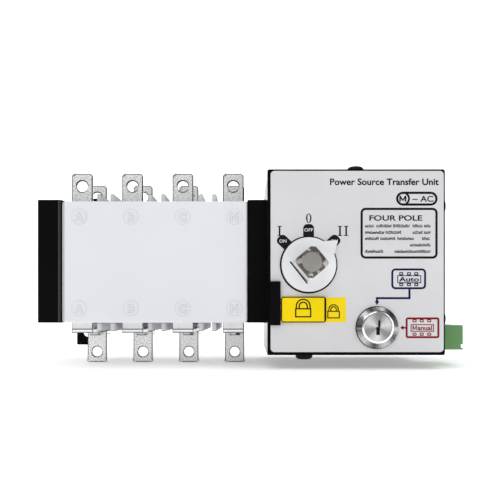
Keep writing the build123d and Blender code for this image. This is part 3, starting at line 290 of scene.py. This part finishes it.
# Edge radii in millimetres.
BEVELS = {
    "base_plate": 0.4, "left_bracket": 0.4, "right_bracket": 0.4, "box_shell": 0.3, "front_panel": 0.3,
    "front_unit_case": 0.35, "rear_unit_case": 0.35, "line_bars_front": 0.6, "line_bars_rear": 0.6,
    "load_bar_screws": 0.5, "bridge_bars": 0.35, "load_bars": 0.55, "rear_link_bars": 0.35,
    "front_cover": 0.6, "operating_shaft": 0.35, "terminal_plug": 0.25, "auxiliary_switch": 0.3,
    "tie_bolts": 0.25, "tie_nuts": 0.25,
    "lock_slide": 0.2, "face_plate": 0.06, "pointer_disc": 0.45, "key_cylinder": 0.2,
}
# Nodes whose rounded edges are darker than their faces: painted shade on their edges.
PAINTED_SHADE_EDGED = (
    "line_bars_front", "line_bars_rear", "bridge_bars", "load_bars", "load_bar_screws", "rear_link_bars",
    "front_unit_case", "rear_unit_case",
)


def dress(name, thing):
    """Gives a CAD node its material, rounded edges and clean shading."""
    thing.data.materials.clear()
    thing.data.materials.append(material_of.get(name) or materials[slot_of[name]])
    for polygon in thing.data.polygons:
        polygon.use_smooth = True
    weld = thing.modifiers.new("welded", "WELD")
    weld.merge_threshold = 0.002 * MM
    if name in ("box_shell", "base_plate"):
        merge = thing.modifiers.new("flat_walls", "DECIMATE")
        merge.decimate_type = "DISSOLVE"
        merge.angle_limit = math.radians(0.5)
    if name in BEVELS:
        bevel = thing.modifiers.new("rounded_edges", "BEVEL")
        bevel.width = BEVELS[name] * MM
        bevel.segments = 3
        bevel.limit_method = "ANGLE"
        bevel.angle_limit = math.radians(40)
        bevel.harden_normals = False
        bevel.use_clamp_overlap = name not in PAINTED_SHADE_EDGED
        # Painted shade: a dark material on the rounded edges of bars, screws and cases.
        if name in PAINTED_SHADE_EDGED:
            thing.data.materials.append(rib_edge_painted_shade if "case" in name else bar_edge_painted_shade)
            bevel.material = 1
    sharp = thing.modifiers.new("sharp_edges", "EDGE_SPLIT")
    sharp.split_angle = math.radians(20 if name == "operating_shaft" else 35)
    flat = thing.modifiers.new("flat_faces", "WEIGHTED_NORMAL")
    flat.weight = 90


for name, thing in nodes.items():
    dress(name, thing)


# ---------------------------------------------------------------- mesh helpers
def piece(name, mesh, material, body=HOUSING):
    """An object made from a mesh, riding on a body."""
    thing = bpy.data.objects.new(name, mesh)
    bpy.context.scene.collection.objects.link(thing)
    mesh.materials.append(material)
    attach(thing, body)
    return thing


def arc(centre, radius, start, end, steps=8):
    """Points on an arc, angles in degrees."""
    angles = [math.radians(start + (end - start) * i / steps) for i in range(steps + 1)]
    return [(centre[0] + radius * math.cos(a), centre[1] + radius * math.sin(a)) for a in angles]


def rounded(x, z, radius, steps=6):
    """The outline of a rounded rectangle between the limits x and z."""
    corners = ((x[1], z[1], 0), (x[0], z[1], 90), (x[0], z[0], 180), (x[1], z[0], 270))
    points = []
    for corner_x, corner_z, start in corners:
        centre_x = corner_x - radius if corner_x == x[1] else corner_x + radius
        centre_z = corner_z - radius if corner_z == z[1] else corner_z + radius
        points += arc((centre_x, centre_z), radius, start, start + 90, steps)
    return points


class Print:
    """Flat shapes of one ink, raised a hair above a face that looks to -Y."""

    def __init__(self, name, material, face_y=PANEL_Y, body=HOUSING, thick=INK):
        self.name, self.material, self.body = name, material, body
        self.back, self.front = face_y * MM, (face_y - thick) * MM
        self.mesh = bmesh.new()

    def ring(self, outer, inner=None):
        """A filled outline, or the band between two outlines with the same number of points."""
        m = self.mesh
        loops = [outer] if inner is None else [outer, inner]
        fronts = [[m.verts.new((x * MM, self.front, z * MM)) for x, z in loop] for loop in loops]
        backs = [[m.verts.new((x * MM, self.back, z * MM)) for x, z in loop] for loop in loops]
        count = len(outer)
        for front, back in zip(fronts, backs):
            for i in range(count):
                j = (i + 1) % count
                m.faces.new((front[i], front[j], back[j], back[i]))
        if inner is None:
            m.faces.new(fronts[0])
            m.faces.new(backs[0])
            return
        for side in (fronts, backs):
            for i in range(count):
                j = (i + 1) % count
                m.faces.new((side[0][i], side[0][j], side[1][j], side[1][i]))

    def frame(self, x, z, radius, stroke):
        """A rounded rectangle's outline, stroke wide, measured outside."""
        inner_x, inner_z = (x[0] + stroke, x[1] - stroke), (z[0] + stroke, z[1] - stroke)
        self.ring(rounded(x, z, radius), rounded(inner_x, inner_z, max(radius - stroke, 0.05)))

    def bar(self, x, z):
        self.ring([(x[0], z[0]), (x[1], z[0]), (x[1], z[1]), (x[0], z[1])])

    def stroke(self, start, end, weight):
        """A straight pen stroke between two points."""
        along_x, along_z = end[0] - start[0], end[1] - start[1]
        half = weight / 2 / math.hypot(along_x, along_z)
        off_x, off_z = -along_z * half, along_x * half
        left = [(x + off_x, z + off_z) for x, z in (start, end)]
        right = [(x - off_x, z - off_z) for x, z in (end, start)]
        self.ring(left + right)

    def capital_m(self, x, z, weight):
        """A bold capital M between two x and two z limits."""
        left, right, middle = x[0] + weight / 2, x[1] - weight / 2, sum(x) / 2
        top = z[1] - weight * 0.3
        self.bar((x[0], x[0] + weight), z)
        self.bar((x[1] - weight, x[1]), z)
        self.stroke((left, top), (middle, z[0] + weight * 0.8), weight * 0.85)
        self.stroke((right, top), (middle, z[0] + weight * 0.8), weight * 0.85)

    def circle(self, centre, radius, stroke=None, start=0, end=360, steps=48):
        outer = arc(centre, radius, start, end, steps)
        if stroke is None:
            self.ring(outer[:-1] if end - start == 360 else outer)
        elif end - start == 360:
            self.ring(outer[:-1], arc(centre, radius - stroke, start, end, steps)[:-1])
        else:
            self.ring(outer + arc(centre, radius - stroke, end, start, steps))

    def text(self, words, at, height, align="CENTER", width=None, turn=0.0, bold=0.0):
        """Words with a cap height, placed by the middle or side of their baseline."""
        curve = bpy.data.curves.new(self.name + "_words", "FONT")
        curve.body = words
        curve.size = height / 0.73 * MM
        curve.align_x = align
        curve.extrude = (self.back - self.front) / 2
        curve.offset = bold * MM
        curve.resolution_u = 4
        helper = bpy.data.objects.new(self.name + "_words", curve)
        mesh = bpy.data.meshes.new_from_object(helper)
        if width:
            xs = [v.co.x for v in mesh.vertices]
            stretch = width * MM / (max(xs) - min(xs))
            mesh.transform(Matrix.Diagonal((stretch, 1, 1, 1)))
        place = Matrix.Translation((at[0] * MM, (self.front + self.back) / 2, at[1] * MM))
        upright = Matrix.Rotation(math.radians(turn), 4, "Y") @ Matrix.Rotation(math.pi / 2, 4, "X")
        mesh.transform(place @ upright)
        self.mesh.from_mesh(mesh)
        bpy.data.meshes.remove(mesh)
        bpy.data.objects.remove(helper)
        bpy.data.curves.remove(curve)

    def done(self):
        bmesh.ops.recalc_face_normals(self.mesh, faces=self.mesh.faces)
        mesh = bpy.data.meshes.new(self.name)
        self.mesh.to_mesh(mesh)
        self.mesh.free()
        return piece(self.name, mesh, self.material, self.body)


# ---------------------------------------------------------------- printing on the panel, and painted shade and highlight strips
edge_shade = ink("edge_shade", (0.52, 0.52, 0.53))
# Painted shade on the bridge bars' folds, and painted highlight on the black bracket's fold.
painted_bend_shade_and_highlight = ink("painted_bend_shade_and_highlight", (0.06, 0.06, 0.062))
black_ink = ink("black_ink", (0.002, 0.002, 0.0025), 0.5)
navy_ink = ink("navy_ink", (0.001, 0.001, 0.06))
red_ink = ink("red_ink", (0.26, 0.0, 0.008))
white_ink = ink("white_ink", (0.85, 0.85, 0.86))
# Painted shade round the cover's raised letters and rings.
painted_crease_shade = ink("painted_crease_shade", (0.56, 0.56, 0.57))
yellow_ink = ink("yellow_ink", (0.98, 0.73, 0.002), 0.97)

TITLE = "Power Source Transfer Unit"
TITLE_AT = (106.3, 43.7)
TITLE_HEIGHT = 3.75
TITLE_WIDTH = 62.2
PILL_X, PILL_Z = (82.0, 105.8), (31.8, 39.8)
PILL_STROKE = 1.3
RATING_X, RATING_Z = (61.7, 105.8), (1.5, 30.6)
HEADING = "FOUR POLE"
HEADING_X = (66.6, 96.9)
HEADING_Z = 23.3
RATING_ROWS = (
    (19.4, (64.3, 90.2), (0.23, 0.36, 0.41)),
    (19.4, (91.5, 101.8), (0.6, 0.4)),
    (15.7, (64.3, 85.1), (0.55, 0.45)),
    (15.7, (91.5, 101.8), (0.6, 0.4)),
    (12.2, (64.3, 92.2), (0.3, 0.34, 0.36)),
    (12.2, (96.9, 101.8), (1.0,)),
    (8.5, (90.0, 101.8), (1.0,)),
    (4.8, (64.3, 75.1), (1.0,)),
    (4.8, (81.2, 101.8), (1.0,)),
)


def word_bars(art, base, span, shares, height=1.75):
    """A printed line too small to read, as words made of letter-like strokes."""
    gap = 0.9
    room = span[1] - span[0] - gap * (len(shares) - 1)
    x = span[0]
    for share in shares:
        end = x + share * room
        while x < end - 0.5:
            stroke = random.uniform(0.3, 0.42)
            tall = height * random.choice((0.7, 0.7, 0.74, 1.0))
            art.bar((x, x + stroke), (base, base + tall))
            for level in random.sample((0.0, 0.33, 0.7), 2):
                low = base + level * height
                art.bar((x + stroke * 0.9, x + stroke + 0.36), (low - 0.02, low + 0.28))
            x += stroke + 0.38
        x = end + gap


def serif_bar(art, centre_x, z, height=5.7, width=2.5):
    """A roman one with thin serifs."""
    art.bar((centre_x - 0.48, centre_x + 0.48), (z, z + height))
    for low in (z, z + height - 0.45):
        art.bar((centre_x - width / 2, centre_x + width / 2), (low, low + 0.45))


def panel_print():
    art = Print("panel_title", black_ink)
    art.text(TITLE, TITLE_AT, TITLE_HEIGHT, "RIGHT", TITLE_WIDTH, bold=0.13)
    art.done()

    art = Print("motor_badge", black_ink)
    pill_mid = sum(PILL_Z) / 2
    half = (PILL_Z[1] - PILL_Z[0]) / 2
    art.frame(PILL_X, PILL_Z, half - 0.01, PILL_STROKE)
    ring_at = (PILL_X[0] + half, pill_mid)
    art.circle(ring_at, half - 0.02, PILL_STROKE * 0.85, -62, 62, 20)
    art.capital_m((ring_at[0] - 2.1, ring_at[0] + 1.9), (pill_mid - 1.7, pill_mid + 1.7), 0.85)
    art.text("~ AC", (97.4, pill_mid - 1.7), 3.4, width=12.0, bold=0.08)
    art.done()

    art = Print("rating_plate", black_ink)
    art.frame(RATING_X, RATING_Z, 2.9, PILL_STROKE)
    middle = sum(HEADING_X) / 2
    art.text(HEADING, (middle, HEADING_Z), 3.1, width=HEADING_X[1] - HEADING_X[0], bold=0.1)
    for base, span, shares in RATING_ROWS:
        word_bars(art, base, span, shares)
    art.done()

    art = Print("dial_marks", black_ink)
    serif_bar(art, 15.4, 14.5)
    serif_bar(art, 49.95, 14.5)
    serif_bar(art, 53.5, 14.5)
    steps = [i / 16 * math.pi for i in range(32)]
    oval = [(32.1 + 1.55 * math.cos(a), 24.6 + 2.7 * math.sin(a)) for a in steps]
    hole = [(32.1 + 0.75 * math.cos(a), 24.6 + 2.4 * math.sin(a)) for a in steps]
    art.ring(oval, hole)
    art.done()


TAB_WIDTH = 6.2
TAB_REACH = 23.3
RING_OUTER, RING_INNER = 16.5, 12.5
TABS = ((0, "OFF", 5.1), (47, "ON", 4.1), (-47, "ON", 4.1))


def dial_print():
    """The black ring under the disc and the three rounded tabs round it."""
    art = Print("dial_ring", black_ink, thick=INK)
    art.circle(SELECTOR, RING_OUTER, RING_OUTER - RING_INNER, steps=96)
    art.done()
    art = Print("dial_tabs", black_ink, thick=INK * 0.8)
    words = Print("dial_words", white_ink, PANEL_Y - INK, thick=INK * 0.6)
    for turn, word, width in TABS:
        lean = math.radians(turn)
        along = (math.sin(lean), math.cos(lean))
        half = TAB_WIDTH / 2

        def place(u, v):
            return (SELECTOR[0] + along[1] * u + along[0] * v, SELECTOR[1] - along[0] * u + along[1] * v)

        top = TAB_REACH - 2.4
        outline = [(half, RING_INNER + 1)] + arc((half - 2.4, top), 2.4, 0, 90, 6)
        outline += arc((-half + 2.4, top), 2.4, 90, 180, 6) + [(-half, RING_INNER + 1)]
        art.ring([place(u, v) for u, v in outline])
        across, up = place(0, 20.0)
        words.text(word, (across, up - 0.95), 1.9, width=width, bold=0.03)
    art.done()
    words.done()


def padlock(art, centre_x, base, width, height, shackle, stroke):
    """A padlock sign drawn in outline: a box and a double-line shackle."""
    body_z = (base, base + height)
    art.frame((centre_x - width / 2, centre_x + width / 2), body_z, 0.25, stroke)
    top = body_z[1]
    for radius in (shackle, shackle * 0.62):
        art.circle((centre_x, top + shackle * 0.25), radius, stroke, 0, 180, 20)
        for side in (-1, 1):
            outer = centre_x + side * radius
            art.bar(sorted((outer, outer - side * stroke)), (top, top + shackle * 0.25))


def connector_sign(art, x, z, words, centres, squares_z, stroke=0.5):
    """A terminal strip sign: a box with a word, and three small squares above and below."""
    art.frame(x, z, 0.12, stroke)
    middle = (x[0] + x[1]) / 2
    width, base = (x[1] - x[0]) * 0.84, z[0] + 0.95
    if words[0] != "M":
        art.text(words, (middle, base), 2.65, width=width, bold=0.1)
    else:
        start = middle - width / 2
        art.capital_m((start, start + 2.4), (base, base + 2.65), 0.5)
        art.text(words[1:], (start + 2.9 + (width - 2.9) / 2, base), 2.65, width=width - 2.9, bold=0.1)
    for centre in centres:
        for low in squares_z:
            art.frame((centre - 1.15, centre + 1.15), (low, low + 1.75), 0.4, 0.55)


def mode_print():
    art = Print("auto_sign", navy_ink)
    art.frame((79.3, 99.2), (-16.0, -4.1), 2.4, 1.15)
    connector_sign(art, (82.7, 96.4), (-12.5, -8.0), "Auto", (85.0, 89.4, 93.6), (-14.2, -8.0))
    stroke = 0.6
    art.bar((89.7 - stroke, 89.7 + stroke), (-21.1 - stroke, -16.0))
    art.bar((71.1 - stroke, 89.7 - stroke), (-21.1 - stroke, -21.1 + stroke))
    art.bar((71.1 - stroke, 71.1 + stroke), (-23.2, -21.1 - stroke))
    art.ring([(69.7, -22.8), (72.5, -22.8), (71.1, -25.0)])
    art.done()
    art = Print("manual_sign", red_ink)
    art.frame((87.5, 106.8), (-44.0, -32.1), 1.3, 1.15)
    connector_sign(art, (90.4, 103.7), (-40.3, -36.0), "Manual", (92.6, 96.7, 101.0), (-42.6, -34.9))
    art.bar((85.9, 87.5), (-38.5, -37.5))
    art.ring([(86.2, -39.4), (86.2, -36.6), (84.4, -38.0)])
    art.done()


def shaft_line():
    """A painted shadow line along the lower left foot of the square shaft."""
    art = Print("shaft_foot_line", black_ink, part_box("pointer_disc")[0].y / MM, "selector")
    along, away = (0.62, -0.785), (-0.785, -0.62)
    distance, half, weight = 7.45, 7.9, 0.8
    ends = [[SELECTOR[i] + away[i] * distance + side * half * along[i] for i in (0, 1)] for side in (-1, 1)]
    art.stroke(*ends, weight)
    art.done()


def key_lines():
    """The dark line around the key switch's bezel, and the dark inside of its key slot."""
    art = Print("bezel_outline", black_ink)
    art.circle(KEY, 12.3, 0.6)
    art.done()
    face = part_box("key_cylinder")[0].y / MM
    art = Print("key_slot_shade", black_ink, face + 0.6, "key")
    art.bar((KEY[0] + 0.32, KEY[0] + 1.48), (KEY[1] + 0.5, KEY[1] + 4.15))
    art.bar((KEY[0] - 0.88, KEY[0] + 1.08), (KEY[1] - 4.15, KEY[1] + 0.35))
    art.done()


def lock_print():
    slide_low, slide_high = (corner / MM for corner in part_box("lock_slide"))
    art = Print("lock_area", yellow_ink)
    art.bar((41.85, 53.4), (slide_low.z + 0.2, slide_high.z - 0.4))
    art.done()
    art = Print("lock_area_sign", black_ink, PANEL_Y - INK)
    padlock(art, 46.3, -32.7, 7.2, 4.4, 3.0, 0.62)
    art.done()
    face = slide_low.y
    art = Print("slide_sign", black_ink, face, "lock")
    padlock(art, 28.8, -32.1, 9.3, 5.3, 4.3, 0.75)
    art.frame((slide_low.x, slide_high.x), (slide_low.z, slide_high.z), 1.6, 0.6)
    art.bar((slide_high.x - 1.1, slide_high.x - 0.35), (slide_low.z + 0.9, slide_high.z - 0.9))
    art.done()


def cover_marks():
    """Raised letters inside the cover's rings, with grey outlines as painted shade round their edges."""
    # Painted shade: grey outlines a little wider than the raised letters and rings.
    letter_shade_outline = Print("cover_letter_creases", painted_crease_shade, COVER_Y, thick=0.04)
    art = Print("cover_letters", materials["white_moulding"], COVER_Y, thick=0.3)
    for x, letter in zip([x + MARK_SHIFT for x in POLE_X], MARKS):
        for z in MARK_ROWS:
            letter_shade_outline.text(letter, (x, z - 2.25), 4.5, bold=0.4)
            letter_shade_outline.circle((x, z), 4.55, 0.5)
            art.circle((x, z), 4.4, 0.2)
            art.text(letter, (x, z - 2.25), 4.5, bold=0.16)
    letter_shade_outline.done()
    art.done()


BAR_HALF = 6.2
BRIDGE_BENDS = ((-39.55, -39.0), (-41.5, -41.1))


def bends():
    """Painted shade along the folds of the bridge bars, a painted highlight along the left bracket's fold,
    and painted shade on the cover's left edge.
    """
    # Painted shade: dark strips along the bridge bars' folds.
    art = Print("bridge_bends", painted_bend_shade_and_highlight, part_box("bridge_bars")[0].y / MM)
    for x in POLE_X:
        for z in BRIDGE_BENDS:
            art.bar((x - BAR_HALF, x + BAR_HALF), z)
    art.done()
    low, high = (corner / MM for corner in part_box("left_bracket"))
    cover_low, cover_high = (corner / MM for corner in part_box("front_cover"))
    art = Print("cover_edge_shade", edge_shade, COVER_Y)
    art.bar((cover_low.x + 0.5, cover_low.x + 1.6), (cover_low.z + 0.6, cover_high.z - 0.6))
    art.done()
    # Painted highlight: grey strips along the black bracket's fold.
    art = Print("bracket_bend", painted_bend_shade_and_highlight, low.y)
    for left, right in ((2.3, 1.5), (1.0, 0.7)):
        art.bar((high.x - left, high.x - right), (low.z + 0.4, high.z - 0.4))
    art.done()


panel_print()
bends()
dial_print()
mode_print()
key_lines()
shaft_line()
lock_print()
cover_marks()


# ---------------------------------------------------------------- stage, light and camera
FLOOR_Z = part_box("load_bars")[0].z
CAMERA_AT = (-1.5, -488.0, -27.8)
LENS = 49.4
SHIFT = (-0.0123, 0.135)


def floor():
    """A pale floor that curves up behind the object."""
    mesh = bmesh.new()
    rise, reach, width = 1.6, 2.2, 6.0
    profile = [(-3.0, 0.0), (reach, 0.0)]
    for i in range(1, 17):
        turn = i * math.pi / 32
        profile.append((reach + rise * math.sin(turn), rise - rise * math.cos(turn)))
    profile.append((reach + rise, 5.0))
    rows = [[mesh.verts.new((x, y, FLOOR_Z + z)) for x in (-width, width)] for y, z in profile]
    for low, high in zip(rows, rows[1:]):
        mesh.faces.new((low[0], low[1], high[1], high[0]))
    data = bpy.data.meshes.new("studio_floor")
    mesh.to_mesh(data)
    mesh.free()
    for polygon in data.polygons:
        polygon.use_smooth = True
    thing = bpy.data.objects.new("studio_floor", data)
    bpy.context.scene.collection.objects.link(thing)
    n = Nodes("studio_white")
    pale = n.mix(n.noise(0.6), rgb(0.93, 0.93, 0.93), rgb(0.9, 0.9, 0.905))
    glow = {"Emission_Color": (1.0, 1.0, 1.0, 1.0), "Emission_Strength": 0.35}
    data.materials.append(n.finish(pale, 0.9, Specular_IOR_Level=0.1, **glow))


def area_light(name, at, look_at, size, power):
    data = bpy.data.lights.new(name, "AREA")
    data.shape = "RECTANGLE"
    data.size, data.size_y = size
    data.energy = power
    lamp = bpy.data.objects.new(name, data)
    bpy.context.scene.collection.objects.link(lamp)
    lamp.location = at
    lamp.rotation_euler = (Vector(look_at) - Vector(at)).to_track_quat("-Z", "Y").to_euler()
    return lamp


floor()
area_light("key_light", (-0.5, -1.5, 1.3), (0, 0, 0), (1.6, 1.2), 12)
area_light("fill_light", (1.3, -1.2, 0.5), (0, 0, 0), (0.8, 1.4), 5)
area_light("top_light", (0.0, 0.2, 1.6), (0, 0, 0), (2.4, 1.8), 20)
area_light("back_wall_light", (0.0, 1.2, 1.8), (0, 3.4, 0.6), (3.0, 1.0), 70)

world = bpy.data.worlds.new("studio_air")
world.use_nodes = True
world.node_tree.nodes["Background"].inputs["Color"].default_value = (0.97, 0.98, 1.0, 1.0)
world.node_tree.nodes["Background"].inputs["Strength"].default_value = 0.22
bpy.context.scene.world = world
bpy.context.scene.view_settings.view_transform = "Standard"

camera_data = bpy.data.cameras.new("camera")
camera_data.lens = LENS
camera_data.sensor_width = 36.0
camera_data.shift_x, camera_data.shift_y = SHIFT
camera_data.clip_start = 0.01
camera_data.clip_end = 30
camera = bpy.data.objects.new("camera", camera_data)
bpy.context.scene.collection.objects.link(camera)
camera.location = Vector(CAMERA_AT) * MM
camera.rotation_euler = (math.pi / 2, 0, 0)
bpy.context.scene.camera = camera
